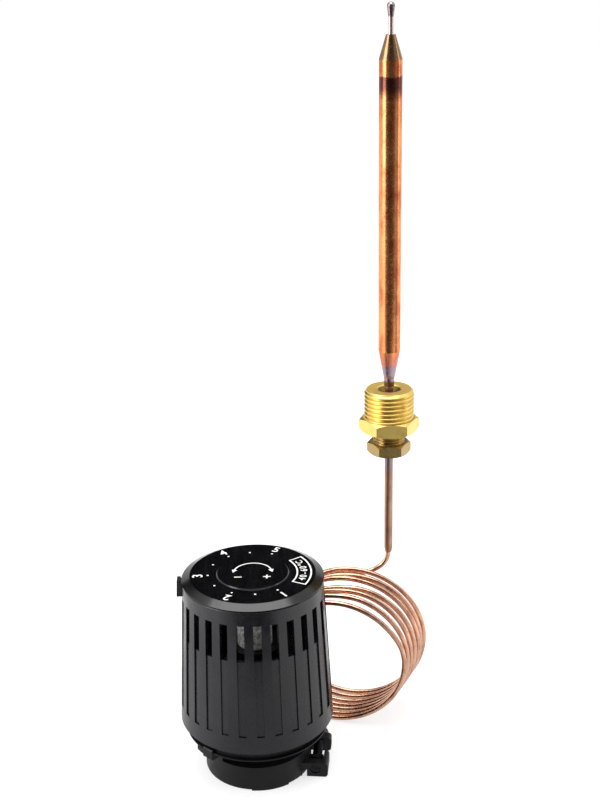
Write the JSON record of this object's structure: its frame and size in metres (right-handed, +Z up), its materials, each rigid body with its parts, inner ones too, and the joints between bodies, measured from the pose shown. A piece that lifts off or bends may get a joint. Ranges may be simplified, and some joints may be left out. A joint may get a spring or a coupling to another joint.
{
  "type": "thermostatic actuator",
  "caption": "Self-acting heating valve actuator: slotted setting handle with numbered dial cap, split clamp collar, coiled copper capillary and a copper sensor bulb in a brass gland.",
  "frame": {"origin": "axis of the clamp collar, at the level of the collar's feet", "axes": "+Z up along the head's axis, -Y towards the side that was pictured, +X towards the clamp lugs"},
  "size_m": [0.1055, 0.0912, 0.2995],
  "materials": {
    "base_plastic": "moulded, slightly satin black",
    "handle_plastic": "moulded, satin charcoal",
    "tab_plastic": "moulded, matt black",
    "cap_plastic": "moulded, half-gloss black, printed white",
    "steel": "bright zinc",
    "can_metal": "drawn, finely speckled",
    "brass": "turned, bright",
    "copper": "copper, drawn and annealed, slightly stained",
    "solder": "bright solder",
    "packing": "soft black packing"
  },
  "bodies": {
    "frame": {"base_frame": "base_plastic", "range_limiter": "base_plastic", "clamp_screw": "steel", "clamp_nut": "steel", "retaining_ring": "steel", "dial_cap": "cap_plastic", "centre_disc": "cap_plastic", "bellows_can": "can_metal", "can_base": "brass", "can_lock_ring": "base_plastic", "inner_capillary": "copper", "capillary_bush": "brass", "capillary_lead_out": "copper", "capillary_coil": "copper", "capillary_lead_in": "copper", "sleeve_tube": "copper", "sensor_bulb": "copper", "filling_tube": "copper", "seal_bead": "solder"},
    "handle": {"handle": "handle_plastic", "index_tab": "tab_plastic"},
    "setting_nut": {"setting_nut": "brass", "setting_spring": "steel"},
    "pressure_pin": {"pressure_pin": "steel", "spring_seat": "steel", "seat_clip": "steel", "bellows": "brass"},
    "gland": {"gland_body": "brass", "gland_nut": "brass", "packing_ring": "packing", "packing_washer": "brass"}
  },
  "joints": [
    {"name": "handle_turn", "type": "hinge", "parent": "frame", "child": "handle", "pos_m": [0, 0, 0.05], "axis": [0, 0, 1], "range_deg": [-120, 120]},
    {"name": "setting_nut_travel", "type": "slide", "parent": "frame", "child": "setting_nut", "axis": [0, 0, 1], "range_m": [-0.002, 0.002], "deforming": ["setting_spring"]},
    {"name": "pin_travel", "type": "slide", "parent": "frame", "child": "pressure_pin", "axis": [0, 0, 1], "range_m": [-0.0025, 0], "stiffness_N_per_m": 4000, "deforming": ["bellows"]},
    {"name": "gland_slide", "type": "slide", "parent": "frame", "child": "gland", "axis": [0, 0, 1], "range_m": [-0.04, 0.003]}
  ],
  "couplings": [
    {"joint": "setting_nut_travel", "follows": "handle_turn", "m_per_rad": 0.00095}
  ]
}
